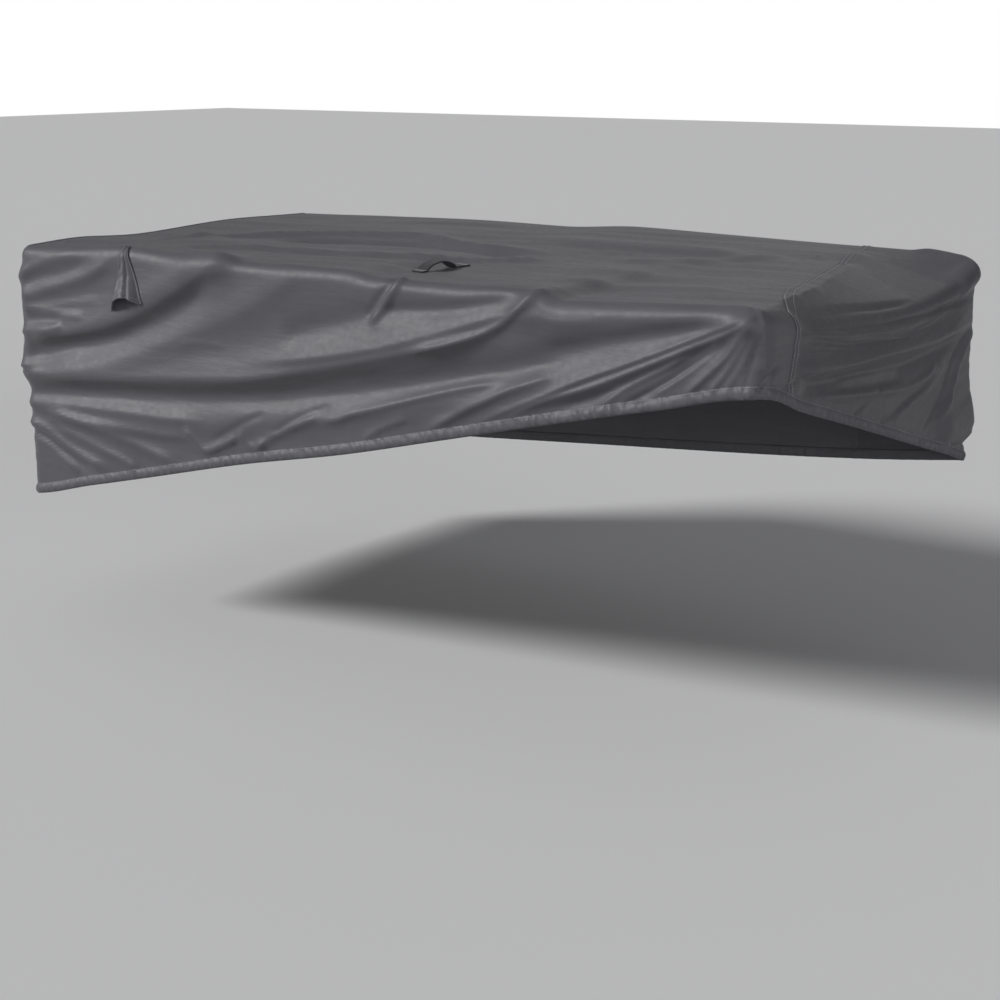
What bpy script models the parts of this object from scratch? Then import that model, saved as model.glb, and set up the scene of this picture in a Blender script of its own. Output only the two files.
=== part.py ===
"""Patio furniture cover, long and low, in the shape in which it hangs when it is pulled askew.

The cover is a body panel (front skirt, top and back skirt in one length of cloth) with an end panel
sewn in at each end, a hooded vent on the front skirt and a grab handle on the top. All are sheets.

+Z is up, +X runs to the right along the length and -Y is the front. The origin is the middle of the
top's underside. Lengths are in metres.

A place on the skirt is given by `along`, the distance round the plan from the front left corner, and
`down`, the depth below the top. A place on the top is given by its distances from the left edge and
from the front edge.
"""

import math

import bmesh
import bpy
import numpy as np
from mathutils import Vector
from mathutils.bvhtree import BVHTree

# Driving dimensions
LENGTH = 1.465
WIDTH = 0.763
CORNER_RADIUS = 0.030
EDGE_RADIUS = 0.018
CLOTH = 0.0015
SEAM_GAP = 0.0005
HEM_BAND = 0.018
HEM_PUFF = 0.0015
EDGE_FADE = 0.11
TOP_FOLD_MARGIN = 0.04
FOLD_SAMPLES = 17
FOLD_TAPER = 0.15
ROUGHNESS = 0.62

ROUND = 2.0 * (LENGTH + WIDTH)
RIGHT = LENGTH
BACK = LENGTH + WIDTH
LEFT = 2.0 * LENGTH + WIDTH
BACKWARDS_FROM = LEFT - 0.30  # past this, folds count backwards from the front left corner
SIDE_STARTS = np.array((0.0, RIGHT, BACK, LEFT))
SIDE_LENGTHS = np.array((LENGTH, WIDTH, LENGTH, WIDTH))

# Depth of the hem below the top: (along, down)
HEM = (
    (0.0, 0.449),
    (0.170, 0.410),
    (0.300, 0.379),
    (0.540, 0.321),
    (0.745, 0.278),
    (0.950, 0.227),
    (1.130, 0.183),
    (1.300, 0.143),
    (RIGHT, 0.110),
    (RIGHT + 0.120, 0.145),
    (RIGHT + 0.290, 0.195),
    (RIGHT + 0.480, 0.252),
    (RIGHT + 0.655, 0.304),
    (BACK, 0.335),
    (BACK + 0.750, 0.405),
    (LEFT, 0.455),
    (LEFT + 0.400, 0.470),
    (ROUND, 0.449),
)

# Height of the top along its edge: (along, height)
EDGE_HEIGHT = (
    (0.0, -0.002),
    (0.150, 0.004),
    (0.270, 0.012),
    (0.370, 0.008),
    (0.550, 0.005),
    (0.660, 0.007),
    (0.750, 0.008),
    (0.818, 0.001),
    (0.950, 0.001),
    (1.100, 0.004),
    (1.145, -0.007),
    (1.210, -0.004),
    (1.290, 0.0),
    (1.370, 0.003),
    (RIGHT, 0.005),
    (RIGHT + 0.120, 0.002),
    (RIGHT + 0.350, 0.0),
    (RIGHT + 0.550, 0.0),
    (BACK - 0.040, 0.002),
    (BACK + 0.090, 0.012),
    (BACK + 0.200, 0.011),
    (BACK + 0.460, 0.015),
    (BACK + 0.640, 0.018),
    (BACK + 0.800, 0.010),
    (BACK + 0.960, 0.011),
    (BACK + 1.220, 0.006),
    (LEFT, 0.0),
    (LEFT + 0.240, 0.004),
    (LEFT + 0.500, -0.004),
    (LEFT + 0.640, 0.002),
    (ROUND, -0.002),
)

# The right end falls away from a ridge that runs from the front right corner to the back edge:
# (distance from the front, how far the top's right edge has fallen there, how far in the ridge is)
RIGHT_SLOPE = (
    (0.0, 0.0, 0.012),
    (0.050, 0.008, 0.022),
    (0.120, 0.024, 0.038),
    (0.250, 0.042, 0.067),
    (0.400, 0.050, 0.101),
    (0.550, 0.048, 0.135),
    (0.660, 0.034, 0.160),
    (0.720, 0.014, 0.174),
    (WIDTH, 0.0, 0.184),
)

# How far the right seam is bowed inwards across the top: (distance from the front, bow)
SEAM_BOW = (
    (0.094, 0.0),
    (0.150, 0.020),
    (0.230, 0.032),
    (0.400, 0.021),
    (0.560, 0.011),
    (0.700, 0.003),
    (WIDTH, 0.0),
)
SEAM_BOW_REACH = 0.07

# Folds of the skirt, through three places (along, down), with a height that is negative in a trough
# and a spread above and below the fold's line
# start along, start down, middle along, middle down, end along, end down, height, above, below
SKIRT_FOLDS = (
    # upper left
    (-0.05, 0.072, 0.04, 0.038, 0.18, 0.010, 0.006, 0.016, 0.012),
    (-0.06, 0.094, 0.09, 0.071, 0.26, 0.018, 0.008, 0.020, 0.012),
    (0.00, 0.167, 0.24, 0.119, 0.54, -0.004, 0.014, 0.040, 0.020),
    (-0.06, 0.200, 0.24, 0.142, 0.50, 0.010, -0.008, 0.022, 0.028),
    (0.06, 0.214, 0.34, 0.149, 0.68, 0.010, 0.006, 0.030, 0.024),
    # long ridge from the left corner's pinch to the top's front edge, and the valley below it
    (0.52, 0.158, 0.86, 0.092, 1.11, 0.010, 0.005, 0.026, 0.014),
    (-0.10, 0.228, 0.56, 0.176, 1.12, -0.006, 0.017, 0.040, 0.017),
    (-0.05, 0.256, 0.62, 0.190, 1.18, 0.060, -0.0075, 0.018, 0.018),
    (1.05, 0.066, 1.21, 0.044, 1.40, 0.012, -0.005, 0.016, 0.020),
    (0.00, 0.294, 0.70, 0.200, 1.35, 0.030, 0.006, 0.018, 0.016),
    (0.62, 0.108, 0.73, 0.078, 0.84, 0.046, -0.005, 0.020, 0.020),
    # lower left
    (-0.03, 0.280, 0.20, 0.297, 0.44, 0.291, 0.005, 0.014, 0.012),
    (0.06, 0.287, 0.20, 0.306, 0.39, 0.349, 0.005, 0.014, 0.012),
    (-0.03, 0.314, 0.10, 0.343, 0.23, 0.381, 0.006, 0.014, 0.012),
    # lower middle
    (0.555, 0.296, 0.62, 0.258, 0.705, 0.222, 0.005, 0.014, 0.012),
    (0.68, 0.234, 0.86, 0.183, 1.06, 0.127, 0.006, 0.014, 0.012),
    (0.90, 0.224, 1.02, 0.162, 1.15, 0.108, 0.007, 0.014, 0.012),
    # fan below the front right corner
    (1.00, 0.204, 1.24, 0.100, 1.465, 0.000, 0.009, 0.014, 0.014),
    (1.21, 0.152, 1.29, 0.098, 1.36, 0.058, 0.005, 0.010, 0.010),
    (1.34, 0.124, 1.41, 0.062, 1.455, 0.006, 0.006, 0.010, 0.010),
    (1.463, -0.006, 1.466, 0.035, 1.470, 0.085, 0.008, 0.014, 0.014),
    # right end
    (RIGHT + 0.04, 0.018, RIGHT + 0.36, 0.007, RIGHT + 0.76, 0.060, -0.006, 0.012, 0.012),
    (RIGHT + 0.02, 0.056, RIGHT + 0.36, 0.102, RIGHT + 0.75, 0.096, 0.013, 0.030, 0.014),
    (RIGHT + 0.07, 0.102, RIGHT + 0.41, 0.132, RIGHT + 0.73, 0.107, -0.008, 0.014, 0.014),
    (RIGHT + 0.14, 0.128, RIGHT + 0.42, 0.164, RIGHT + 0.64, 0.140, 0.006, 0.014, 0.012),
    (RIGHT + 0.76, 0.104, RIGHT + 0.67, 0.184, RIGHT + 0.57, 0.266, 0.006, 0.014, 0.012),
    # puffed corner of the top and slack of the skirt at the back right corner
    (BACK - 0.09, 0.018, BACK, 0.020, BACK + 0.12, 0.012, 0.012, 0.020, 0.014),
    (BACK - 0.16, 0.258, BACK, 0.264, BACK + 0.18, 0.250, 0.014, 0.050, 0.028),
    # back and left, which hang plainly in a few broad folds
    (BACK + 0.20, 0.060, BACK + 0.60, 0.150, BACK + 1.05, 0.190, 0.011, 0.040, 0.026),
    (BACK + 0.55, 0.300, BACK + 0.95, 0.250, BACK + 1.35, 0.100, 0.010, 0.034, 0.028),
    (BACK + 1.10, 0.360, BACK + 1.30, 0.300, LEFT + 0.05, 0.200, 0.010, 0.026, 0.022),
    (-0.62, 0.120, -0.34, 0.170, -0.04, 0.200, 0.011, 0.040, 0.024),
    (-0.70, 0.300, -0.36, 0.290, -0.03, 0.316, 0.009, 0.026, 0.022),
)

# Folds of the top, in distances from its left edge and from its front edge, with a spread to the
# front and to the back of the fold's line
# start left, start front, middle left, middle front, end left, end front, height, front, back
TOP_FOLDS = (
    (0.22, 0.14, 0.50, 0.44, 0.93, 0.376, 0.0044, 0.020, 0.036),
    (0.34, 0.27, 0.62, 0.36, 0.88, 0.35, -0.005, 0.028, 0.028),
    (0.28, 0.07, 0.64, 0.18, 0.96, 0.335, 0.003, 0.020, 0.024),
    (0.12, 0.22, 0.45, 0.20, 0.80, 0.24, 0.003, 0.030, 0.040),
    (0.30, 0.52, 0.80, 0.50, 1.20, 0.56, 0.005, 0.040, 0.040),
)

# Seams: where each end panel starts and stops round the plan, at the top's edge and at the hem
RIGHT_SEAM = {"front top": RIGHT + 0.094, "front hem": RIGHT + 0.066,
              "back top": BACK + 0.200, "back hem": BACK + 0.205}
LEFT_SEAM = {"front top": -0.006, "front hem": -0.040,
             "back top": 0.006 - WIDTH, "back hem": 0.020 - WIDTH}

# Steps of the cloth's mesh
SKIRT_ROWS = 16
SEAM_SHARE = 0.015
HEM_SHARE = 0.05
SEAM_STRIP = 0.006
CORNER_STEPS = 4
FRONT_STEPS = 38
SIGHT = 0.1  # distance from which the cloth under the vent is looked for

# Vent hood: its ends on the front skirt, (along, run down the cloth), and how far the mouth stands off
VENT = {"tip": (0.275, 0.008), "mouth left": (0.243, 0.103), "mouth right": (0.313, 0.088),
        "tip width": 0.006, "tip lift": 0.0022, "stand off": 0.020, "arch share": 0.86, "arch fullness": 0.75,
        "flare": 1.2, "lip rise": 0.014, "lip share": 0.5, "seat": 0.0009,
        "across": 12, "rows": 9}

# Grab handle: its feet on the top, from the left edge and from the front edge
HANDLE = {"front foot": (0.818, 0.092), "back foot": (0.844, 0.200), "strap": 0.024,
          "thickness": 0.0024, "foot": 0.014, "rise": 0.015, "arch fullness": 0.8,
          "seat": 0.0005, "across": 3, "steps": 28}

COLOURS = {
    "body_panel": (0.100, 0.100, 0.112),
    "right_end_panel": (0.092, 0.092, 0.104),
    "left_end_panel": (0.092, 0.092, 0.104),
    "vent_hood": (0.100, 0.100, 0.112),
    "grab_handle": (0.022, 0.022, 0.026),
}


def clear_scene():
    for old in list(bpy.data.objects):
        bpy.data.objects.remove(old, do_unlink=True)


def smooth(x):
    x = np.clip(x, 0.0, 1.0)
    return x * x * (3.0 - 2.0 * x)


def fabric(name, colour):
    material = bpy.data.materials.new(name)
    material.use_nodes = True
    shader = material.node_tree.nodes["Principled BSDF"]
    shader.inputs["Base Color"].default_value = (*colour, 1.0)
    shader.inputs["Roughness"].default_value = ROUGHNESS
    shader.inputs["Metallic"].default_value = 0.0
    return material


# ---- the shape that the cloth hangs in


def table_value(table, along):
    places, values = np.array(table).T
    return np.interp(along, places, values, period=ROUND)


def plan(along, inset):
    """Points of the rounded plan outline, `inset` inside it, and the directions out of it."""
    along = np.mod(along, ROUND)
    side = np.searchsorted(SIDE_STARTS, along, side="right") - 1
    place = along - SIDE_STARTS[side]
    length = SIDE_LENGTHS[side]
    on_straight = np.clip(place, CORNER_RADIUS, length - CORNER_RADIUS)
    angle = (side - 1) * math.pi / 2 + (place - on_straight) / CORNER_RADIUS * math.pi / 4
    run = on_straight - length / 2
    depth = SIDE_LENGTHS[(side + 1) % 4] / 2 - CORNER_RADIUS
    facing = (side - 1) * math.pi / 2
    x = depth * np.cos(facing) - run * np.sin(facing) + (CORNER_RADIUS - inset) * np.cos(angle)
    y = depth * np.sin(facing) + run * np.cos(facing) + (CORNER_RADIUS - inset) * np.sin(angle)
    return x, y, np.cos(angle), np.sin(angle)


def fold_sum(folds, across, down):
    """The total height of a table of folds at places (across, down)."""
    total = np.zeros_like(across)
    t = np.linspace(0.0, 1.0, FOLD_SAMPLES)
    for x0, y0, x1, y1, x2, y2, height, above, below in folds:
        bend_x, bend_y = 2 * x1 - (x0 + x2) / 2, 2 * y1 - (y0 + y2) / 2
        line_x = (1 - t) ** 2 * x0 + 2 * t * (1 - t) * bend_x + t**2 * x2
        line_y = (1 - t) ** 2 * y0 + 2 * t * (1 - t) * bend_y + t**2 * y2
        nearest = np.full_like(across, np.inf)
        signed = np.zeros_like(across)
        reach = np.zeros_like(across)
        for k in range(len(t) - 1):
            step_x, step_y = line_x[k + 1] - line_x[k], line_y[k + 1] - line_y[k]
            off_x, off_y = across - line_x[k], down - line_y[k]
            part = np.clip((off_x * step_x + off_y * step_y) / (step_x**2 + step_y**2), 0.0, 1.0)
            distance = np.hypot(off_x - part * step_x, off_y - part * step_y)
            side = np.sign((step_x * off_y - step_y * off_x) * (1.0 if step_x >= 0 else -1.0))
            closer = distance < nearest
            nearest = np.where(closer, distance, nearest)
            signed = np.where(closer, distance * side, signed)
            reach = np.where(closer, (k + part) / (len(t) - 1), reach)
        spread = np.where(signed > 0, below, above)
        ends = smooth(reach / FOLD_TAPER) * smooth((1.0 - reach) / FOLD_TAPER)
        total += height * np.exp(-((nearest / spread) ** 2)) * ends
    return total


def skirt_fold(along, down):
    """Height of the skirt's folds; those of the left end count backwards."""
    return fold_sum(SKIRT_FOLDS, np.where(along > BACKWARDS_FROM, along - ROUND, along), down)


def slope_fall(from_left, from_front):
    """How far the top has fallen on the right of its ridge."""
    places, falls, insets = np.array(RIGHT_SLOPE).T
    inset = np.interp(from_front, places, insets)
    share = np.clip((from_left - LENGTH + inset) / inset, 0.0, 1.2)
    return np.interp(from_front, places, falls) * share


def top_bow(x, y):
    """Places of the top, drawn inwards along the right seam."""
    places, bows = np.array(SEAM_BOW).T
    from_front = y + WIDTH / 2
    reach = (from_front - places[0]) / (WIDTH - places[0])
    seam_x = LENGTH / 2 - (RIGHT_SEAM["back top"] - BACK) * reach
    return x - np.interp(from_front, places, bows) * np.exp(-(((x - seam_x) / SEAM_BOW_REACH) ** 2))


def top_height(x, y):
    """Height of the top: its edges' heights and folds carried inwards, and its own folds."""
    half_x, half_y = LENGTH / 2, WIDTH / 2
    from_left, from_front = x + half_x, y + half_y
    sides = (
        (from_left, from_front - EDGE_RADIUS),
        (RIGHT + from_front, LENGTH - EDGE_RADIUS - from_left),
        (BACK + LENGTH - from_left, WIDTH - EDGE_RADIUS - from_front),
        (-from_front, from_left - EDGE_RADIUS),
    )
    total, weights = np.zeros_like(x), np.zeros_like(x)
    nearest = np.full_like(x, np.inf)
    for along, inside in sides:
        inside = np.maximum(inside, 0.0)
        nearest = np.minimum(nearest, inside)
        weight = 1.0 / (inside + CLOTH / 10) ** 2
        total += weight * (table_value(EDGE_HEIGHT, along) + skirt_fold(along, -inside))
        weights += weight
    own = fold_sum(TOP_FOLDS, from_left, from_front) * smooth(nearest / TOP_FOLD_MARGIN)
    return total / weights + own - slope_fall(from_left, from_front)


def skirt_point(along, run):
    """Points of the skirt, `run` down the cloth from the top's flat, round its edge."""
    turn = np.clip(run / EDGE_RADIUS, 0.0, math.pi / 2)
    down = EDGE_RADIUS * (1 - np.cos(turn)) + np.maximum(run - EDGE_RADIUS * math.pi / 2, 0.0)
    x, y, out_x, out_y = plan(along, EDGE_RADIUS * (1 - np.sin(turn)))
    edge = table_value(EDGE_HEIGHT, along) - slope_fall(x + LENGTH / 2, y + WIDTH / 2)
    z = edge * (1 - smooth(down / EDGE_FADE)) - down
    hem = table_value(HEM, along)
    puff = HEM_PUFF * smooth((down - hem + HEM_BAND) / (0.5 * HEM_BAND))
    fold = skirt_fold(np.mod(along, ROUND), down) + puff
    return np.stack(
        (x + fold * out_x * np.sin(turn), y + fold * out_y * np.sin(turn), z + fold * np.cos(turn)), -1
    )


def skirt_run(along):
    """Length of cloth from the top's flat to the hem."""
    return table_value(HEM, along) - EDGE_RADIUS + EDGE_RADIUS * math.pi / 2


def skirt_shares():
    """Shares of the skirt's length at which its rows lie, from the top's seam or edge to the hem."""
    return np.concatenate(([0.0], np.linspace(SEAM_SHARE, 1.0 - HEM_SHARE, SKIRT_ROWS - 1), [1.0]))


# ---- panels


def steps_between(stops):
    """Shares from 0 to 1 through stops (along, steps to the next), as (alongs, shares)."""
    parts = [np.linspace(a, b, n, endpoint=False) for (a, n), (b, _) in zip(stops, stops[1:])]
    along = np.append(np.concatenate(parts), stops[-1][0])
    return (along - along[0]) / (along[-1] - along[0])


BODY_SHARES = steps_between((
    (LEFT_SEAM["front top"], 1),
    (LEFT_SEAM["front top"] + SEAM_STRIP, CORNER_STEPS),
    (CORNER_RADIUS, FRONT_STEPS),
    (LENGTH - CORNER_RADIUS, CORNER_STEPS),
    (LENGTH + CORNER_RADIUS, 2),
    (RIGHT_SEAM["front top"] - SEAM_STRIP, 1),
    (RIGHT_SEAM["front top"], 0),
))
RIGHT_SHARES = steps_between((
    (RIGHT_SEAM["front top"], 1),
    (RIGHT_SEAM["front top"] + SEAM_STRIP, 14),
    (BACK - CORNER_RADIUS, CORNER_STEPS),
    (BACK + CORNER_RADIUS, 4),
    (RIGHT_SEAM["back top"] - SEAM_STRIP, 1),
    (RIGHT_SEAM["back top"], 0),
))
LEFT_SHARES = steps_between((
    (LEFT_SEAM["front top"], 1),
    (LEFT_SEAM["front top"] - SEAM_STRIP, 2),
    (-CORNER_RADIUS, 18),
    (CORNER_RADIUS - WIDTH, 2),
    (LEFT_SEAM["back top"] + SEAM_STRIP, 1),
    (LEFT_SEAM["back top"], 0),
))


def seam_along(seam, where, share):
    """Where a seam lies round the plan at a share of the skirt's length."""
    return seam[where + " top"] + (seam[where + " hem"] - seam[where + " top"]) * share


def body_along(where, across, share):
    """Where the body panel's columns lie round the plan, from its left seam to its right seam."""
    left = seam_along(LEFT_SEAM, where, share) + (ROUND if where == "back" else 0.0)
    return left + (seam_along(RIGHT_SEAM, where, share) - left) * across


def body_points(i, j):
    """Body panel: column i runs from front hem to back hem, row j from left seam to right seam."""
    across = BODY_SHARES[i]
    shares = skirt_shares()
    top_rows = len(RIGHT_SHARES) - 1
    front = shares[np.clip(SKIRT_ROWS - j, 0, SKIRT_ROWS)]
    back = shares[np.clip(j - SKIRT_ROWS - top_rows, 0, SKIRT_ROWS)]

    points = np.zeros((len(i), 3))
    for where, share, chosen in (("front", front, j <= SKIRT_ROWS),
                                 ("back", back, j >= SKIRT_ROWS + top_rows)):
        along = body_along(where, across, share)
        points[chosen] = skirt_point(along, share * skirt_run(along))[chosen]

    row = np.clip(j - SKIRT_ROWS, 0, top_rows)
    share = LEFT_SHARES[row] + (RIGHT_SHARES[row] - LEFT_SHARES[row]) * across
    x0, y0, _, _ = plan(body_along("front", across, 0.0), EDGE_RADIUS)
    x1, y1, _, _ = plan(body_along("back", across, 0.0), EDGE_RADIUS)
    x, y = x0 + (x1 - x0) * share, y0 + (y1 - y0) * share
    x = top_bow(x, y)
    on_top = (j > SKIRT_ROWS) & (j < SKIRT_ROWS + top_rows)
    points[on_top] = np.stack((x, y, top_height(x, y)), -1)[on_top]
    return points


def end_along(seam, across, share):
    """Where an end panel's columns lie round the plan, from its front seam to its back seam."""
    gap = math.copysign(SEAM_GAP, seam["back top"] - seam["front top"])
    first = seam_along(seam, "front", share) + gap
    last = seam_along(seam, "back", share) - gap
    return first + (last - first) * across


def end_points(seam, shares, i, j):
    """End panel: column i runs from its front seam to its back seam, row j from top seam to hem.

    It keeps SEAM_GAP clear of the body panel on all three sewn sides, and twice that at its corners.
    """
    along_share = shares[i]
    edge_x, edge_y, _, _ = plan(end_along(seam, along_share, 0.0), EDGE_RADIUS)
    seam_x, seam_y, _, _ = plan(end_along(seam, np.array((0.0, 1.0)), 0.0), EDGE_RADIUS)
    top_x = seam_x[0] + (seam_x[1] - seam_x[0]) * along_share
    top_y = seam_y[0] + (seam_y[1] - seam_y[0]) * along_share
    wedge = np.hypot(edge_x - top_x, edge_y - top_y)
    skirt = skirt_run(end_along(seam, along_share, 1.0))
    clear = np.where((i == 0) | (i == len(shares) - 1), 2.0 * SEAM_GAP, SEAM_GAP)
    travelled = clear + skirt_shares()[j] * (wedge + skirt - clear)
    down_share = np.clip((travelled - wedge) / skirt, 0.0, 1.0)
    along = end_along(seam, along_share, down_share)
    share = np.clip(travelled / np.maximum(wedge, SEAM_GAP), 0.0, 1.0)
    x, y = top_x + (edge_x - top_x) * share, top_y + (edge_y - top_y) * share
    x = x + (top_bow(x, y) - x) * (1 - share) * (seam is RIGHT_SEAM)
    on_top = np.stack((x, y, top_height(x, y)), -1)
    on_skirt = skirt_point(along, down_share * skirt_run(along))
    return np.where((travelled >= wedge)[:, None], on_skirt, on_top)


def sheet(collection, name, columns, rows, place, thickness=CLOTH):
    """A grid whose vertices are moved to place(i, j), given its thickness by Solidify."""
    mesh = bpy.data.meshes.new(name)
    grid = bmesh.new()
    bmesh.ops.create_grid(grid, x_segments=columns, y_segments=rows, size=0.5)
    flat = np.array([v.co for v in grid.verts])
    i = np.rint((flat[:, 0] + 0.5) * columns).astype(int)
    j = np.rint((flat[:, 1] + 0.5) * rows).astype(int)
    for vertex, point in zip(grid.verts, place(i, j)):
        vertex.co = point
    grid.to_mesh(mesh)
    grid.free()
    mesh.shade_smooth()
    panel = bpy.data.objects.new(name, mesh)
    panel.data.materials.append(fabric(name, COLOURS[name]))
    collection.objects.link(panel)
    solid = panel.modifiers.new("cloth", "SOLIDIFY")
    solid.thickness = thickness
    solid.offset = 0.0
    return panel


# ---- what is sewn on


def surface_of(panel):
    """A tree of the panel's faces, to seat other pieces on."""
    bpy.context.view_layer.update()
    return BVHTree.FromObject(panel, bpy.context.evaluated_depsgraph_get())


def vent_points(tree, i, j):
    """Vent hood: a pocket of cloth, narrow at its tip and standing off at its mouth."""
    across = 2.0 * i / VENT["across"] - 1.0
    down_share = j / VENT["rows"]
    tip, left, right = (np.array(VENT[k]) for k in ("tip", "mouth left", "mouth right"))
    half_tip = np.array((VENT["tip width"] / 2, 0.0))
    start = tip + across[:, None] * half_tip
    end = left + (right - left) * (across[:, None] + 1) / 2
    place = start + (end - start) * down_share[:, None]
    arch = np.clip(1.0 - (across / VENT["arch share"]) ** 2, 0.0, 1.0)
    lift = VENT["stand off"] * arch ** VENT["arch fullness"] * down_share ** VENT["flare"]
    lift = lift + VENT["tip lift"] * (1.0 - down_share) ** 2
    lip = (down_share - 1.0) / VENT["lip share"] + 1.0
    place[:, 1] -= VENT["lip rise"] * arch * smooth(lip)
    run = place[:, 1]
    turn = np.clip(run / EDGE_RADIUS, 0.0, math.pi / 2)
    down = EDGE_RADIUS * (1 - np.cos(turn)) + np.maximum(run - EDGE_RADIUS * math.pi / 2, 0.0)
    x, y, out_x, out_y = plan(place[:, 0], EDGE_RADIUS * (1 - np.sin(turn)))
    out = np.stack((out_x * np.sin(turn), out_y * np.sin(turn), np.cos(turn)), -1)
    points = []
    for base, away, height in zip(np.stack((x, y, -down), -1), out, lift):
        hit, _, _, _ = tree.ray_cast(Vector(base + away * SIGHT), Vector(-away))
        points.append(np.array(hit) + away * (VENT["seat"] + CLOTH / 2 + height))
    return points


def handle_points(tree, i, j):
    """Grab handle: a strap, flat where it is sewn down and arched between."""
    front, back = np.array(HANDLE["front foot"]), np.array(HANDLE["back foot"])
    reach = np.linalg.norm(back - front)
    direction = (back - front) / reach
    aside = np.array((direction[1], -direction[0])) * HANDLE["strap"]
    run = i / HANDLE["steps"] * reach
    free = np.clip((run - HANDLE["foot"]) / (reach - 2 * HANDLE["foot"]), 0.0, 1.0)
    lift = HANDLE["rise"] * np.sin(free * math.pi) ** HANDLE["arch fullness"]
    plan_place = front + run[:, None] * direction + (j[:, None] / HANDLE["across"] - 0.5) * aside
    points = []
    for (from_left, from_front), height in zip(plan_place, lift):
        x, y = from_left - LENGTH / 2, from_front - WIDTH / 2
        hit, _, _, _ = tree.ray_cast(Vector((x, y, 1.0)), Vector((0.0, 0.0, -1.0)))
        points.append((x, y, hit.z + HANDLE["seat"] + HANDLE["thickness"] / 2 + height))
    return points


def main():
    clear_scene()
    collection = bpy.data.collections.new("patio_furniture_cover")
    bpy.context.scene.collection.children.link(collection)

    columns, top_rows = len(BODY_SHARES) - 1, len(RIGHT_SHARES) - 1
    body = sheet(collection, "body_panel", columns, 2 * SKIRT_ROWS + top_rows, body_points)
    for name, seam, shares in (("right_end_panel", RIGHT_SEAM, RIGHT_SHARES),
                               ("left_end_panel", LEFT_SEAM, LEFT_SHARES)):
        sheet(collection, name, len(shares) - 1, SKIRT_ROWS,
              lambda i, j, seam=seam, shares=shares: end_points(seam, shares, i, j))

    tree = surface_of(body)
    sheet(collection, "vent_hood", VENT["across"], VENT["rows"], lambda i, j: vent_points(tree, i, j))
    sheet(collection, "grab_handle", HANDLE["steps"], HANDLE["across"],
          lambda i, j: handle_points(tree, i, j), HANDLE["thickness"])


main()
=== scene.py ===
# The looks of a patio furniture cover: coated cloth on its folds, a gathered hem, double-needle
# seams, a hooded vent and a webbing handle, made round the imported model.
# Metres, +Z up, the front faces -Y; a table that is in millimetres says so. A place on the skirt
# is (along, down): the way round the plan from the front left corner, and the depth below the top.
# A place on the top is counted from its left edge and from its front edge.

import math

import bpy
import numpy as np
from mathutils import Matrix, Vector
from mathutils.bvhtree import BVHTree


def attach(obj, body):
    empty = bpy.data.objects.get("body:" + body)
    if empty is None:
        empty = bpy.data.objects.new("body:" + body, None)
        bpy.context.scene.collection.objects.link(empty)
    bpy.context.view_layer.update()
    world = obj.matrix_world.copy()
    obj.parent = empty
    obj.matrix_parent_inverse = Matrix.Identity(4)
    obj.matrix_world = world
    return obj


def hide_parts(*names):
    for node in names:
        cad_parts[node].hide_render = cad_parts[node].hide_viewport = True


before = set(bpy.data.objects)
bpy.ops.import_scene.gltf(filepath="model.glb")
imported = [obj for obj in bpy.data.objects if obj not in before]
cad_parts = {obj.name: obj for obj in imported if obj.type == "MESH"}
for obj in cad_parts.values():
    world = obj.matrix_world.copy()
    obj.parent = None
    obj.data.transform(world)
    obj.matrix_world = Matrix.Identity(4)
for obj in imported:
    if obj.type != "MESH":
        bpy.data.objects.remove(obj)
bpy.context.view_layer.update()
print("frame loaded:", sorted(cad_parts))


# studio

studio = {
    "cameraPlace": (1.7388, -2.3836, 0.3339),
    "cameraTurn": (75.42, 0.0, 35.447),  # degrees
    "lens": 62.56,
    "floorHeight": -0.67,
    "floorSize": 40.0,
    "floorColour": (0.9, 0.9, 0.9),
    "skyColour": (0.94, 0.95, 1.0),
    "skyStrength": 0.115,
    "backgroundColour": (1.0, 1.0, 1.0),
    "backgroundStrength": 1.0,
    # direction that each light comes from: degrees to the right of the front, degrees up, spread, strength
    "keyLight": (-48.0, 30.0, 14.0, 2.3),
    "frontLight": (32.0, 3.0, 50.0, 0.3),
    "rightLight": (66.0, 3.0, 40.0, 1.3),
    "backLight": (195.0, 2.0, 60.0, 0.16),
}


def addObject(name, data):
    added = bpy.data.objects.new(name, data)
    bpy.context.collection.objects.link(added)
    return added


def makeCamera():
    data = bpy.data.cameras.new("camera")
    data.lens = studio["lens"]
    camera = addObject("camera", data)
    camera.location = studio["cameraPlace"]
    camera.rotation_euler = [math.radians(a) for a in studio["cameraTurn"]]
    bpy.context.scene.camera = camera


def makeLight(name, turn, height, spread, strength):
    data = bpy.data.lights.new(name, "SUN")
    data.angle = math.radians(spread)
    data.energy = strength
    addObject(name, data).rotation_euler = (math.radians(90.0 - height), 0.0, math.radians(turn))


def makeFloor():
    half, z = studio["floorSize"] / 2, studio["floorHeight"]
    corners = [(-half, -half, z), (half, -half, z), (half, half, z), (-half, half, z)]
    mesh = bpy.data.meshes.new("floor")
    mesh.from_pydata(corners, [], [(0, 1, 2, 3)])
    floor = addObject("floor", mesh)
    material = bpy.data.materials.new("pale floor")
    material.use_nodes = True
    shader = material.node_tree.nodes["Principled BSDF"]
    shader.inputs["Base Color"].default_value = (*studio["floorColour"], 1.0)
    shader.inputs["Roughness"].default_value = 0.9
    mesh.materials.append(material)
    floor.visible_diffuse = False  # it takes the shadow and throws no light up under the cover


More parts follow.
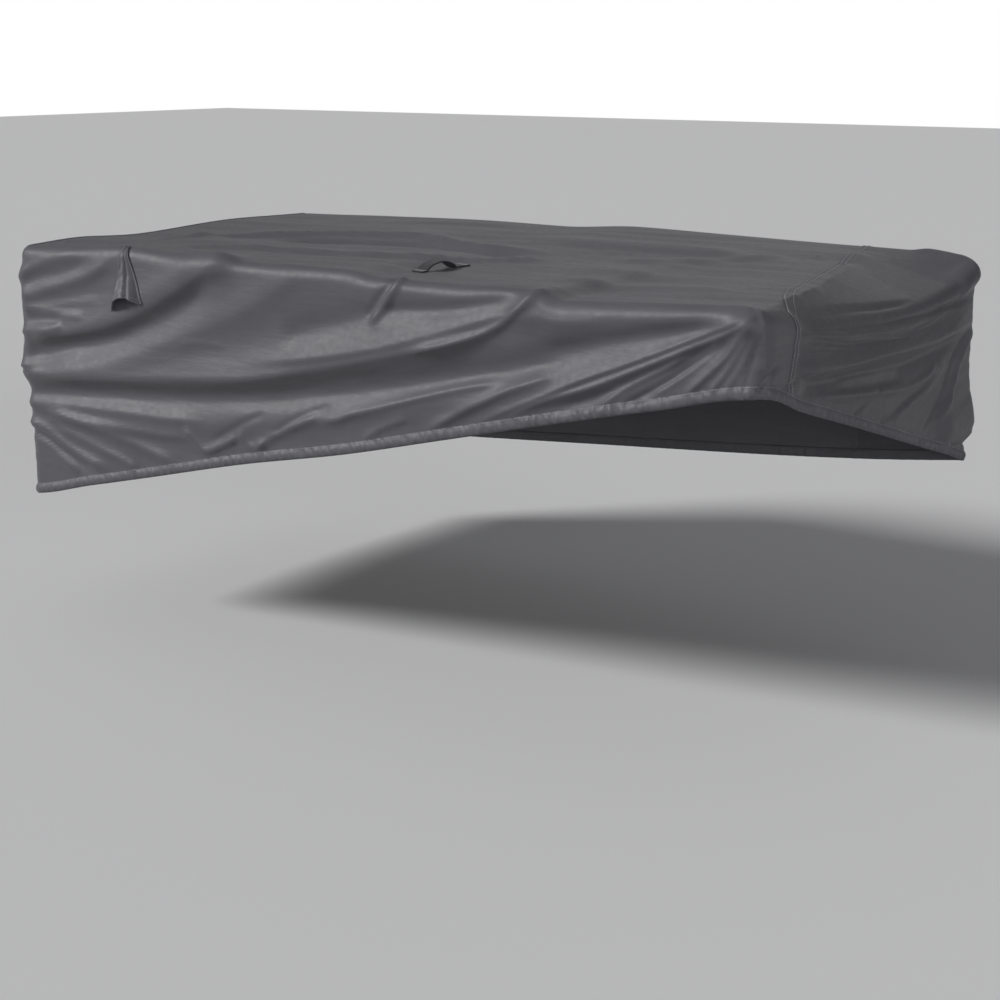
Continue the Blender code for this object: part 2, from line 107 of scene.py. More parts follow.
def makeWorld():
    # a white background behind a dimmer sky
    world = bpy.data.worlds.new("studio")
    bpy.context.scene.world = world
    world.use_nodes = True
    nodes, link = world.node_tree.nodes, world.node_tree.links.new
    sky, plain = nodes["Background"], nodes.new("ShaderNodeBackground")
    for node, name in ((sky, "sky"), (plain, "background")):
        node.inputs["Color"].default_value = (*studio[name + "Colour"], 1.0)
        node.inputs["Strength"].default_value = studio[name + "Strength"]
    seen, chosen = nodes.new("ShaderNodeLightPath"), nodes.new("ShaderNodeMixShader")
    link(seen.outputs["Is Camera Ray"], chosen.inputs[0])
    link(sky.outputs[0], chosen.inputs[1])
    link(plain.outputs[0], chosen.inputs[2])
    link(chosen.outputs[0], nodes["World Output"].inputs["Surface"])


makeCamera()
for lightName in ("keyLight", "frontLight", "rightLight", "backLight"):
    makeLight(lightName, *studio[lightName])
makeFloor()
makeWorld()
bpy.context.scene.view_settings.view_transform = "Standard"
print("studio made")


# materials


class Graph:
    # a material's nodes, linked by short calls
    def __init__(self, name):
        self.material = bpy.data.materials.new(name)
        self.material.use_nodes = True
        self.nodes = self.material.node_tree.nodes
        self.links = self.material.node_tree.links
        self.shader = self.nodes["Principled BSDF"]
        self.place = self.add("ShaderNodeTexCoord").outputs

    def set(self, node, inputs):
        for key, value in inputs.items():
            if isinstance(value, bpy.types.NodeSocket):
                self.links.new(value, node.inputs[key])
            else:
                node.inputs[key].default_value = value
        return node

    def add(self, kind, **inputs):
        return self.set(self.nodes.new(kind), inputs)

    def math(self, operation, a, b=0.0):
        node = self.set(self.nodes.new("ShaderNodeMath"), {0: a, 1: b})
        node.operation = operation
        return node.outputs[0]

    def noise(self, vector, scale, detail, roughness):
        node = self.add("ShaderNodeTexNoise", Vector=vector, Scale=scale, Detail=detail, Roughness=roughness)
        return node.outputs["Fac"]

    def wave(self, axis, pitch):
        # a sine along one way of the cloth's own UV map, which is in metres
        cut = self.add("ShaderNodeSeparateXYZ", Vector=self.place["UV"])
        return self.math("SINE", self.math("MULTIPLY", cut.outputs[axis], 2 * math.pi / pitch))

    def stretched(self, vector, scale):
        return self.add("ShaderNodeMapping", Vector=vector, Scale=scale).outputs[0]

    def ramp(self, value, low, high, colourLow, colourHigh):
        node = self.add("ShaderNodeValToRGB", Fac=value)
        stops = ((low, colourLow), (high, colourHigh))
        for element, (position, colour) in zip(node.color_ramp.elements, stops):
            element.position = position
            element.color = (*colour, 1.0)
        return node.outputs[0]

    def bump(self, height, strength, distance, under=None):
        node = self.add("ShaderNodeBump", Height=height, Strength=strength, Distance=distance)
        if under is not None:
            self.links.new(under, node.inputs["Normal"])
        return node.outputs[0]


clothFinish = {
    "colour": (0.115, 0.115, 0.127),
    "shade": 0.1,  # how far its tone wanders to each side
    "roughness": (0.42, 0.54),
    "sheen": 0.1,
    "specular": 0.38,
    # sizes of its patterns, per metre: streaks along and across, crinkles, patches of tone
    "streaks": (9.0, 60.0, 1.0),
    "crinkles": 95.0,
    "patches": 5.0,
    "streakDepth": 0.0024,
    "crinkleDepth": 0.0012,
    "weavePitch": 0.0011,
    "weaveDepth": 0.0001,
}


def coatedCloth(name, paintedLightTone=1.0):
    g = Graph(name)
    pitch = clothFinish["weavePitch"]
    weave = g.math("MULTIPLY", g.wave(0, pitch), g.wave(1, pitch))
    streaks = g.noise(g.stretched(g.place["UV"], clothFinish["streaks"]), 1.0, 4.0, 0.6)
    crinkle = g.noise(g.place["Object"], clothFinish["crinkles"], 4.0, 0.62)
    patches = g.noise(g.place["Object"], clothFinish["patches"], 5.0, 0.6)
    # the last argument scales the whole colour: below 1 it is painted shade, above 1 it is painted light
    colour = np.array(clothFinish["colour"]) * paintedLightTone
    shade = clothFinish["shade"]
    tones = g.math("ADD", g.math("MULTIPLY", patches, 0.6), g.math("MULTIPLY", streaks, 0.4))
    base = g.ramp(tones, 0.35, 0.65, colour * (1 - shade), colour * (1 + shade))
    low, high = clothFinish["roughness"]
    rough = g.add("ShaderNodeMapRange", Value=crinkle)
    g.set(rough, {"From Min": 0.3, "From Max": 0.7, "To Min": low, "To Max": high})
    soft = g.bump(streaks, 0.35, clothFinish["streakDepth"])
    fine = g.bump(crinkle, 0.3, clothFinish["crinkleDepth"], soft)
    woven = g.bump(weave, 0.35, clothFinish["weaveDepth"], fine)
    g.set(g.shader, {"Base Color": base, "Roughness": rough.outputs[0], "Normal": woven,
                     "Sheen Weight": clothFinish["sheen"], "Sheen Roughness": 0.45,
                     "Specular IOR Level": clothFinish["specular"]})
    return g.material


webbingFinish = {
    "colour": (0.022, 0.022, 0.026),
    "ribPitch": 0.0022,
    "yarnPitch": 0.00275,
    "ribDepth": 0.0005,
}


def wovenWebbing(name):
    g = Graph(name)
    ribs, yarns = g.wave(1, webbingFinish["ribPitch"]), g.wave(0, webbingFinish["yarnPitch"])
    height = g.math("ADD", ribs, g.math("MULTIPLY", yarns, 0.5))
    fuzz = g.noise(g.place["Object"], 400.0, 3.0, 0.6)
    colour = np.array(webbingFinish["colour"])
    base = g.ramp(fuzz, 0.35, 0.7, colour * 0.8, colour * 1.5)
    bumped = g.bump(height, 0.6, webbingFinish["ribDepth"])
    g.set(g.shader, {"Base Color": base, "Roughness": 0.7, "Normal": bumped,
                     "Sheen Weight": 0.15, "Sheen Roughness": 0.5})
    return g.material


def spunThread(name, colour):
    g = Graph(name)
    twist = g.noise(g.place["Object"], 900.0, 2.0, 0.5)
    colour = np.array(colour)
    base = g.ramp(twist, 0.35, 0.65, colour * 0.75, colour * 1.15)
    g.set(g.shader, {"Base Color": base, "Roughness": 0.55})
    return g.material


bodyCloth = coatedCloth("coated cloth")
# the ends are the same cloth, darkened as painted shade where they turn away from the light
endClothPaintedShade = coatedCloth("coated cloth of the ends with painted shade", 0.88)
# the hem band is the same cloth, lightened as painted light where it puffs out into the light
hemClothPaintedLight = coatedCloth("coated cloth of the hem with painted light", 1.06)
# the hood is the same cloth, lightened as painted light where it stands out from the cover
hoodClothPaintedLight = coatedCloth("coated cloth of the hood with painted light", 1.04)
handleWebbing = wovenWebbing("woven webbing")
seamThread = spunThread("pale thread", (0.36, 0.36, 0.38))
handleThread = spunThread("white thread", (0.3, 0.3, 0.31))
print("materials made")


# the shape that the cloth hangs in

form = {
    "length": 1.465,
    "width": 0.763,
    "cornerRadius": 0.03,
    "edgeRadius": 0.018,
    "hemBand": 0.018,
    "hemPuff": 0.0015,
    "edgeFade": 0.11,
    "topFoldMargin": 0.04,
    "foldTaper": 0.15,
    "foldSteps": 6,  # samples between two places of a fold's line
    "foldReach": 3.4,  # spreads past which a fold is left out
    "crispRadius": 0.0022,
    "crispSpread": 0.62,
}
length, width = form["length"], form["width"]
cornerRadius, edgeRadius = form["cornerRadius"], form["edgeRadius"]
wholeRound = 2.0 * (length + width)
rightStart, backStart, leftStart = length, length + width, 2.0 * length + width
sideStarts = np.array((0.0, rightStart, backStart, leftStart))
sideLengths = np.array((length, width, length, width))


def inMetres(folds, start=0.0):
    return [([(start + along / 1000, down / 1000) for along, down in places],
             height / 1000, above / 1000, below / 1000, crisp)
            for height, above, below, crisp, *places in folds]


def aroundTable(*sides):
    # rows for the front, right, back and left, each from its own start, joined into one closed table
    rows = [(start + along / 1000, value / 1000)
            for start, side in zip(sideStarts, sides) for along, value in side]
    return rows + [(wholeRound, rows[0][1])]


# depth of the hem below the top, in millimetres: along, down
hemDepth = aroundTable(
    ((0, 449), (170, 410), (300, 379), (540, 321), (745, 278), (950, 227.5), (1130, 183), (1300, 143)),
    ((0, 110), (120, 145.5), (290, 195), (480, 252), (655, 304)),
    ((0, 335), (750, 405)),
    ((0, 455), (400, 470)),
)

# height of the top along its edge, in millimetres: along, height
edgeHeight = aroundTable(
    ((0, -2), (150, 4), (270, 12), (370, 8), (550, 5), (660, 7), (750, 8), (818, 1), (950, 1),
     (1050, 4), (1100, 4), (1145, -7), (1210, -4), (1290, 0), (1370, 3)),
    ((0, 5), (120, 2), (350, 0), (550, 0), (723, 2)),
    ((90, 12), (200, 11), (460, 15), (640, 18), (800, 10), (960, 11), (1220, 6)),
    ((0, 0), (240, 4), (500, -4), (640, 2)),
)

# The right end falls away from a ridge that runs from the front right corner to the back edge:
# distance from the front, how far the top's right edge has fallen there, how far in the ridge is.
rightSlope = (
    (0.0, 0.0, 0.012), (0.05, 0.008, 0.022), (0.12, 0.024, 0.038), (0.25, 0.042, 0.067),
    (0.4, 0.05, 0.101), (0.55, 0.048, 0.135), (0.66, 0.034, 0.16), (0.72, 0.014, 0.174),
    (width, 0.0, 0.184),
)
# how far the right seam is bowed inwards across the top: distance from the front, bow
seamBow = ((0.094, 0.0), (0.15, 0.02), (0.23, 0.032), (0.4, 0.021), (0.56, 0.011), (0.7, 0.003),
           (width, 0.0))
seamBowReach = 0.07
seamInset = {"front": 0.094, "back": 0.2}  # from the right edge, on the top

# A fold, in millimetres: height (negative in a trough), spread above and below its crest, how crisp
# it is, from 0 to 1, and the places that its crest runs through.
frontFolds = inMetres([
    # upper left, between the corner and the vent
    (5, 35, 35, 0, (0, 25), (0, 60), (0, 120), (0, 170), (0, 204), (0, 211), (0, 218)),
    (4.2, 16, 10, 0.6, (-20, 62), (10, 52), (50, 34), (100, 20), (180, 10)),
    (-3.4, 10, 10, 0, (0, 70), (60, 54), (120, 41), (200, 22)),
    (6.8, 20, 11, 0.5, (0, 90), (40, 85), (90, 71), (150, 56), (200, 41), (260, 18)),
    (3, 5, 6, 0.8, (4, 105), (70, 100), (140, 91), (220, 80)),
    (3.4, 6, 7, 0.7, (4, 112), (70, 109), (120, 110), (190, 112)),
    (-4, 6, 6, 0, (0, 127), (50, 125), (130, 120)),
    (5, 8, 6, 0.7, (0, 152), (40, 149), (90, 141), (130, 130)),
    # the broad dark band, up to the top's edge
    (16, 40, 20, 0.35, (0, 167), (80, 152), (160, 137), (240, 119), (320, 90), (400, 54), (480, 13),
     (540, -4)),
    (-11, 22, 28, 0, (0, 194), (60, 184), (140, 167), (240, 140), (330, 104), (420, 63), (500, 10)),
    (3, 6, 5, 0.7, (0, 214), (30, 207), (80, 197), (120, 188), (170, 172)),
    (6, 30, 24, 0.2, (60, 214), (140, 202), (240, 180), (340, 149), (440, 114), (540, 75), (620, 36),
     (680, 10)),
    (1.6, 4, 4, 0.8, (400, 138), (450, 130), (510, 131)),
    # the long ridge from the left corner's pinch to the top's front edge
    (5, 26, 8, 0.5, (520, 158), (700, 128), (820, 103), (900, 80), (980, 56), (1050, 36), (1110, 10)),
    (16.5, 40, 21, 0.5, (-100, 228), (0, 226), (150, 218), (300, 205), (450, 190), (560, 176), (660, 155),
     (770, 130), (870, 105), (970, 79), (1070, 42)),
    (7, 9, 7, 0.7, (880, 104), (960, 84), (1020, 64), (1060, 43), (1090, 18), (1120, -10)),
    (-8.5, 22, 16, 0, (-50, 262), (100, 252), (350, 235), (500, 219), (620, 203), (740, 181), (860, 156),
     (970, 132), (1080, 106), (1180, 78), (1280, 52)),
    (6, 18, 18, 0.2, (1050, 48), (1100, 34), (1160, 26), (1240, 21), (1320, 17), (1400, 10), (1460, 2)),
    (-5, 14, 14, 0, (1100, 78), (1180, 64), (1260, 48), (1340, 32), (1420, 16)),
    # below its valley, down to the hem
    (3.8, 20, 18, 0.1, (0, 306), (100, 300), (250, 287), (440, 268), (570, 249), (700, 227), (820, 203),
     (940, 177), (1050, 149), (1150, 119), (1250, 86)),
    (5, 14, 7, 0.5, (-30, 280), (90, 274), (200, 271), (320, 268), (460, 263)),
    (5, 10, 8, 0.6, (-30, 280), (50, 286), (130, 293), (220, 297), (340, 297), (440, 291)),
    (7, 9, 6, 0.9, (400, 276), (425, 294), (450, 311), (490, 296), (535, 275)),
    (5, 7, 6, 0.8, (525, 268), (550, 290), (590, 282)),
    (5.6, 10, 8, 0.8, (555, 296), (610, 264), (660, 240), (705, 222)),
    (-3, 6, 6, 0.3, (460, 296), (520, 263), (550, 248), (590, 232)),
    (-2.8, 5, 6, 0.3, (600, 263), (640, 240), (680, 220), (730, 202)),
    (6.4, 10, 8, 0.8, (680, 234), (740, 222), (770, 210), (820, 195), (900, 170), (960, 152), (1010, 139),
     (1060, 127)),
    (3.4, 9, 6, 0.7, (785, 250), (830, 224), (880, 204)),
    (7.2, 12, 9, 0.7, (900, 224), (950, 198), (990, 176), (1030, 157), (1060, 142), (1100, 126),
     (1150, 108)),
    # upper middle, with two pinches on the top's edge
    (-5, 20, 20, 0, (620, 108), (700, 86), (770, 66), (820, 46)),
    (6, 6, 7, 0.7, (865, -8), (850, 18), (830, 43), (805, 70)),
    (-3.4, 6, 6, 0, (855, -2), (825, 27), (795, 62)),
    (-5.8, 12, 14, 0, (800, 52), (860, 43), (940, 37), (1020, 24), (1090, 8)),
    # lower left
    (8, 10, 8, 0.3, (-30, 314), (30, 318), (60, 324), (90, 339), (130, 356), (170, 367), (230, 381)),
    (-4.6, 9, 9, 0, (-10, 330), (40, 337), (80, 351), (120, 367), (180, 390)),
    (6, 9, 7, 0.7, (80, 316), (130, 326), (170, 335), (210, 345), (260, 358), (290, 374)),
    (6.6, 12, 9, 0.5, (60, 287), (130, 295), (200, 306), (270, 319), (330, 331), (390, 349)),
    (4.2, 9, 9, 0.2, (0, 332), (40, 345), (80, 363), (140, 402)),
    # fan below the front right corner
    (5.6, 12, 5, 0.8, (980, 208), (1050, 175), (1120, 143), (1180, 115), (1250, 86), (1310, 61), (1370, 36),
     (1420, 17), (1465, -1)),
    (7.2, 7, 10, 0.8, (1020, 199), (1120, 151), (1200, 121), (1280, 86), (1340, 60), (1390, 39), (1430, 21),
     (1467, 1)),
    (-4.5, 8, 10, 0, (1120, 166), (1220, 129), (1290, 95), (1350, 65), (1410, 33)),
    (5.2, 8, 6, 0.8, (1210, 152), (1250, 121), (1290, 98), (1320, 82), (1360, 58)),
    (-5, 6, 7, 0.3, (1240, 148), (1310, 108), (1360, 75), (1420, 38)),
    (3.6, 6, 5, 0.8, (1290, 128), (1340, 95), (1370, 72), (1410, 43)),
    (5.2, 8, 6, 0.8, (1340, 124), (1380, 88), (1410, 60), (1430, 35), (1455, 6)),
    (3.8, 6, 5, 0.8, (1380, 116), (1410, 80), (1435, 44), (1455, 10)),
    (3, 5, 4, 0.9, (1405, 110), (1430, 74), (1445, 46), (1460, 14)),
    (-1.8, 4, 4, 0.3, (1435, 106), (1447, 72), (1453, 50)),
    (4, 10, 12, 0.5, (1463, -6), (1466, 20), (1468, 48), (1470, 85)),
])

# counted from the front right corner
rightFolds = inMetres([
    (-5, 6, 8, 0.2, (100, 3), (150, 0), (240, -8), (340, -11), (440, -7), (560, 2)),
    (-7.2, 7, 8, 0.3, (98, 13), (170, 9), (290, 6), (440, 10), (570, 20), (660, 36), (760, 62)),
    (3, 5, 6, 0.7, (100, 20), (170, 17), (300, 19), (430, 32)),
    (-2.6, 6, 8, 0, (100, 26), (200, 32), (330, 52), (500, 83)),
    (13, 30, 12, 0.4, (80, 80), (130, 86), (180, 91), (240, 95), (340, 98), (450, 102), (560, 104),
     (660, 100), (750, 96)),
    (-8, 12, 14, 0.1, (100, 106), (140, 109), (200, 114), (300, 122), (410, 130), (510, 128), (610, 122),
     (730, 107)),
    (4.2, 6, 6, 0.6, (230, 121), (340, 128), (460, 135)),
    (-3, 6, 5, 0, (200, 128), (340, 144), (470, 150)),
    (-2.6, 4, 5, 0.3, (30, 106), (70, 100), (120, 96), (180, 98)),
    (6.2, 10, 10, 0.6, (140, 128), (270, 144), (380, 156), (470, 165), (550, 160), (640, 140)),
    (-3.2, 4, 4, 0.5, (610, 138), (550, 172), (480, 186), (420, 202), (370, 203)),
    (3.6, 8, 5, 0.6, (640, 142), (570, 179), (500, 194), (430, 213)),
    (-3.6, 4, 4, 0.5, (740, 100), (670, 139), (640, 173), (610, 210), (540, 254)),
    (5.2, 10, 6, 0.6, (760, 104), (700, 147), (670, 184), (640, 218), (570, 266)),
    (-2.4, 4, 4, 0.4, (380, 150), (330, 165), (280, 178)),
    (3.2, 6, 6, 0.5, (610, 283), (700, 283), (760, 283)),
    (-4, 5, 5, 0, (640, 293), (710, 298), (770, 304)),
    # the tuck by the corner
    (-4.6, 3, 3, 0.7, (45, 66), (12, 82), (0, 93), (-8, 106)),
], rightStart)

# The back and left hang plainly in a few broad folds: the back's, with the slack corner, are counted
# from the back right corner, and the left's backwards from the front left one.
backFolds = inMetres([
    (9, 18, 12, 0, (-90, 18), (0, 20), (120, 12)),
    (14, 50, 28, 0, (-160, 258), (0, 264), (180, 250)),
    (11, 40, 26, 0.2, (200, 60), (600, 150), (1050, 190)),
    (10, 34, 28, 0.2, (550, 300), (950, 250), (1350, 100)),
    (10, 26, 22, 0.2, (1100, 360), (1300, 300), (1515, 200)),
    (6, 20, 16, 0.5, (150, 180), (500, 240), (900, 330)),
    (5, 18, 14, 0.5, (700, 90), (1000, 70), (1300, 30)),
], backStart)
leftFolds = inMetres([
    (11, 40, 24, 0.3, (-620, 120), (-340, 170), (-40, 200)),
    (9, 26, 22, 0.3, (-700, 300), (-360, 290), (-30, 316)),
    (4, 14, 12, 0.6, (-600, 220), (-400, 240), (-100, 252)),
    (4, 14, 12, 0.6, (-550, 60), (-350, 85), (-80, 100)),
])
skirtFolds = frontFolds + backFolds + leftFolds + rightFolds

# folds of the top, in millimetres too, counted from its left edge and from its front edge
topFolds = inMetres([
    (9, 14, 34, 0.5, (200, 100), (240, 220), (280, 300), (350, 360), (420, 410), (570, 440), (700, 380),
     (830, 364), (930, 376)),
    (-10, 28, 26, 0, (340, 270), (480, 340), (620, 360), (740, 340), (880, 350)),
    (7.2, 12, 20, 0.5, (280, 70), (420, 147), (620, 177), (750, 203), (850, 260), (960, 335)),
    (2.6, 5, 6, 0.8, (780, 435), (900, 425), (1000, 460)),
    (4, 14, 20, 0.2, (1000, 370), (1120, 450), (1220, 580)),
    (3.4, 20, 24, 0, (1050, 135), (1190, 172), (1330, 175)),
    (2.8, 6, 5, 0.8, (1240, 605), (1330, 540)),
    (4.4, 30, 40, 0.2, (120, 220), (450, 200), (800, 240)),
    (5, 40, 40, 0, (300, 520), (800, 500), (1200, 560)),
])

# how the pull runs over the front: depth at the left corner, and the line's rise with along squared
pullLines = ((-0.2, 1.73), (0.05, 1.73), (0.088, 1.2), (0.148, 0.67), (0.22, 0.175), (0.27, 0.13),
             (0.3, -0.2), (0.33, -0.6), (0.5, -0.8))

# small wrinkles of the skirt and of the top: height, size along the pull, size across it
smallWrinkles = ((0.0011, 0.2, 0.024), (0.0006, 0.09, 0.011))
topWrinkles = ((0.005, 0.42, 0.06), (0.0024, 0.24, 0.032))
topSlant = 0.1  # how far they run back for each metre along
wrinkleStart = 0.03  # depth at which the skirt's are whole
farPull = {"rise": 1.4, "wave": 0.03, "turns": 9.0}  # of the wrinkles round the back
hemGather = {"height": 0.0016, "size": 0.01, "depth": 0.08, "fade": 0.032}


def smooth(x):
    x = np.clip(x, 0.0, 1.0)
    return x * x * (3.0 - 2.0 * x)


def ripple(u, v, seed):
    # gradient noise, about -0.7 to 0.7, one cell per unit
    cellU, cellV = np.floor(u), np.floor(v)
    inU, inV = u - cellU, v - cellV
    total = np.zeros(np.broadcast(u, v).shape)
    for stepU in (0, 1):
        for stepV in (0, 1):
            hashed = np.sin((cellU + stepU) * 127.1 + (cellV + stepV) * 311.7 + seed * 74.7) * 43758.5453
            angle = 2 * math.pi * (hashed - np.floor(hashed))
            offU, offV = inU - stepU, inV - stepV
            fade = (1 - np.abs(offU) ** 3 * (10 - 15 * np.abs(offU) + 6 * offU**2)) * (
                1 - np.abs(offV) ** 3 * (10 - 15 * np.abs(offV) + 6 * offV**2)
            )
            total += fade * (np.cos(angle) * offU + np.sin(angle) * offV)
    return total


def tableValue(table, along):
    # a smooth closed line through the table's rows, with no overshoot
    places, values = np.array(table).T
    steps = np.diff(places)
    slopes = np.diff(values) / steps
    before, after = np.roll(slopes, 1), slopes
    turning = before * after <= 0
    rise = np.where(turning, 0.0, 2 * before * after / np.where(turning, 1.0, before + after))
    rise = np.append(rise, rise[0])
    along = np.mod(along, wholeRound)
    k = np.clip(np.searchsorted(places, along, side="right") - 1, 0, len(steps) - 1)
    t = (along - places[k]) / steps[k]
    return ((2 * t**3 - 3 * t**2 + 1) * values[k] + (t**3 - 2 * t**2 + t) * steps[k] * rise[k]
            + (3 * t**2 - 2 * t**3) * values[k + 1] + (t**3 - t**2) * steps[k] * rise[k + 1])


def planPlace(along, inset):
    # points of the rounded plan outline, inset inside it, and the directions out of it
    along = np.mod(along, wholeRound)
    side = np.searchsorted(sideStarts, along, side="right") - 1
    place = along - sideStarts[side]
    onStraight = np.clip(place, cornerRadius, sideLengths[side] - cornerRadius)
    facing = (side - 1) * math.pi / 2
    angle = facing + (place - onStraight) / cornerRadius * math.pi / 4
    run = onStraight - sideLengths[side] / 2
    depth = sideLengths[(side + 1) % 4] / 2 - cornerRadius
    x = depth * np.cos(facing) - run * np.sin(facing) + (cornerRadius - inset) * np.cos(angle)
    y = depth * np.sin(facing) + run * np.cos(facing) + (cornerRadius - inset) * np.sin(angle)
    return x, y, np.cos(angle), np.sin(angle)


def smoothLine(places, steps):
    p = np.array(places, float)
    p = np.vstack((2 * p[0] - p[1], p, 2 * p[-1] - p[-2]))
    t = np.linspace(0.0, 1.0, steps, endpoint=False)[:, None]
    runs = [
        0.5 * (2 * b + (c - a) * t + (2 * a - 5 * b + 4 * c - d) * t**2 + (3 * b - a - 3 * c + d) * t**3)
        for a, b, c, d in zip(p, p[1:], p[2:], p[3:])
    ]
    return np.vstack((*runs, p[-2]))


def foldSum(folds, across, down):
    total = np.zeros(across.shape)
    for places, height, above, below, crisp in folds:
        line = smoothLine(places, form["foldSteps"])
        margin = form["foldReach"] * max(above, below)
        low, high = line.min(0) - margin, line.max(0) + margin
        near = (across > low[0]) & (across < high[0]) & (down > low[1]) & (down < high[1])
        if not near.any():
            continue
        x, y = across[near], down[near]
        nearest, signed, reach = np.full(x.shape, np.inf), np.zeros(x.shape), np.zeros(x.shape)
        for k in range(len(line) - 1):
            stepX, stepY = line[k + 1] - line[k]
            offX, offY = x - line[k, 0], y - line[k, 1]
            part = np.clip((offX * stepX + offY * stepY) / (stepX**2 + stepY**2), 0.0, 1.0)
            distance = np.hypot(offX - part * stepX, offY - part * stepY)
            side = np.sign((stepX * offY - stepY * offX) * (1.0 if stepX >= 0 else -1.0))
            closer = distance < nearest
            nearest = np.where(closer, distance, nearest)
            signed = np.where(closer, side, signed)
            reach = np.where(closer, (k + part) / (len(line) - 1), reach)
        spread = np.where(signed > 0, below, above)
        ends = smooth(reach / form["foldTaper"]) * smooth((1.0 - reach) / form["foldTaper"])
        bell = np.exp(-((nearest / spread) ** 2))
        tip = form["crispRadius"]
        ridge = np.exp(-(np.hypot(nearest, tip) - tip) / (form["crispSpread"] * spread))
        total[near] += height * ends * (bell + (ridge - bell) * crisp)
    return total


def pullDepth(along, down):
    # the depth at the left corner of the pull line through a place, found by halving
    starts, bends = np.array(pullLines).T
    low, high = np.full(along.shape, -0.3), np.full(along.shape, 0.9)
    for _ in range(18):
        middle = (low + high) / 2
        deeper = middle - np.interp(middle, starts, bends) * along**2 < down
        low, high = np.where(deeper, middle, low), np.where(deeper, high, middle)
    return (low + high) / 2


def skirtFold(along, down):
    # folds of the left end count backwards from the front left corner
    back = np.where(along > leftStart - 0.3, along - wholeRound, along)
    return foldSum(skirtFolds, back, down)


def skirtWrinkle(along, down):
    onFront = (along < rightStart) | (along > leftStart + width / 2)
    frontAlong = np.where(along > leftStart, along - wholeRound, along)
    farDepth = down * farPull["rise"] + farPull["wave"] * np.sin(along * farPull["turns"])
    pull = np.where(onFront, pullDepth(frontAlong, down), farDepth)
    total = np.zeros(along.shape)
    for seed, (height, sizeAlong, sizeAcross) in enumerate(smallWrinkles):
        total += height * ripple(along / sizeAlong, pull / sizeAcross, seed + 1)
    hem = tableValue(hemDepth, along)
    gather = hemGather["height"] * ripple(along / hemGather["size"], down / hemGather["depth"], 11)
    gather = gather * np.exp(-np.maximum(hem - down, 0.0) / hemGather["fade"])
    return total * smooth(down / wrinkleStart) + gather


def slopeFall(fromLeft, fromFront):
    # how far the top has fallen on the right of its ridge
    places, falls, insets = np.array(rightSlope).T
    inset = np.interp(fromFront, places, insets)
    share = np.clip((fromLeft - (length - inset)) / inset, 0.0, 1.2)
    return np.interp(fromFront, places, falls) * share


def topBow(x, y):
    # the top's plan, drawn inwards along the right seam
    places, bows = np.array(seamBow).T
    fromFront = y + width / 2
    bow = np.interp(fromFront, places, bows, left=0.0)
    seamX = length / 2 - seamInset["back"] * (fromFront - seamInset["front"]) / (width - seamInset["front"])
    return x - bow * np.exp(-(((x - seamX) / seamBowReach) ** 2))


def topHeight(x, y):
    # its edges' heights and folds carried inwards, and its own folds and wrinkles
    fromLeft, fromFront = x + length / 2, y + width / 2
    sides = (
        (fromLeft, fromFront - edgeRadius),
        (rightStart + fromFront, length - edgeRadius - fromLeft),
        (backStart + length - fromLeft, width - edgeRadius - fromFront),
        (-fromFront, fromLeft - edgeRadius),
    )
    total, weights = np.zeros(x.shape), np.zeros(x.shape)
    nearest = np.full(x.shape, np.inf)
    for along, inside in sides:
        inside = np.maximum(inside, 0.0)
        nearest = np.minimum(nearest, inside)
        weight = 1.0 / (inside + 0.0002) ** 2
        total += weight * (tableValue(edgeHeight, along) + skirtFold(along, -inside))
        weights += weight
    own = foldSum(topFolds, fromLeft, fromFront)
    flat = np.exp(-slopeFall(fromLeft, fromFront) / 0.004)
    for seed, (height, sizeAlong, sizeAcross) in enumerate(topWrinkles):
        slanted = (fromFront - topSlant * fromLeft) / sizeAcross
        own += flat * height * ripple(fromLeft / sizeAlong, slanted, seed + 5)
    return total / weights + own * smooth(nearest / form["topFoldMargin"]) - slopeFall(fromLeft, fromFront)


def skirtRun(along):
    # length of cloth from the top's flat to the hem
    return tableValue(hemDepth, along) - edgeRadius + edgeRadius * math.pi / 2


def skirtPlace(along, run, lift=0.0):
    # points of the skirt, run down the cloth from the top's flat, round its edge, lifted off it
    turn = np.clip(run / edgeRadius, 0.0, math.pi / 2)
    down = edgeRadius * (1 - np.cos(turn)) + np.maximum(run - edgeRadius * math.pi / 2, 0.0)
    x, y, outX, outY = planPlace(along, edgeRadius * (1 - np.sin(turn)))
    edge = tableValue(edgeHeight, along) - slopeFall(x + length / 2, y + width / 2)
    z = edge * (1 - smooth(down / form["edgeFade"])) - down
    hem = tableValue(hemDepth, along)
    puff = form["hemPuff"] * smooth((down - hem + form["hemBand"]) / (0.5 * form["hemBand"]))
    around = np.mod(along, wholeRound)
    fold = skirtFold(around, down) + skirtWrinkle(around, down) + puff + lift
    return np.stack(
        (x + fold * outX * np.sin(turn), y + fold * outY * np.sin(turn), z + fold * np.cos(turn)), -1
    )


# making meshes


def stepsBetween(*stops):
    # places from stop to stop: (place, steps to the next), ..., last place
    parts = [
        np.linspace(a[0], b[0] if isinstance(b, tuple) else b, a[1], endpoint=False)
        for a, b in zip(stops, stops[1:])
    ]
    return np.append(np.concatenate(parts), stops[-1])


def meshObject(name, points, faces, material, uvs):
    mesh = bpy.data.meshes.new(name)
    mesh.from_pydata(points.tolist(), [], faces.tolist())
    layer = mesh.uv_layers.new(name="cut")
    order = np.zeros(len(mesh.loops), dtype=np.int32)
    mesh.loops.foreach_get("vertex_index", order)
    layer.data.foreach_set("uv", uvs[order].astype(np.float32).ravel())
    mesh.shade_smooth()
    mesh.materials.append(material)
    return addObject(name, mesh)


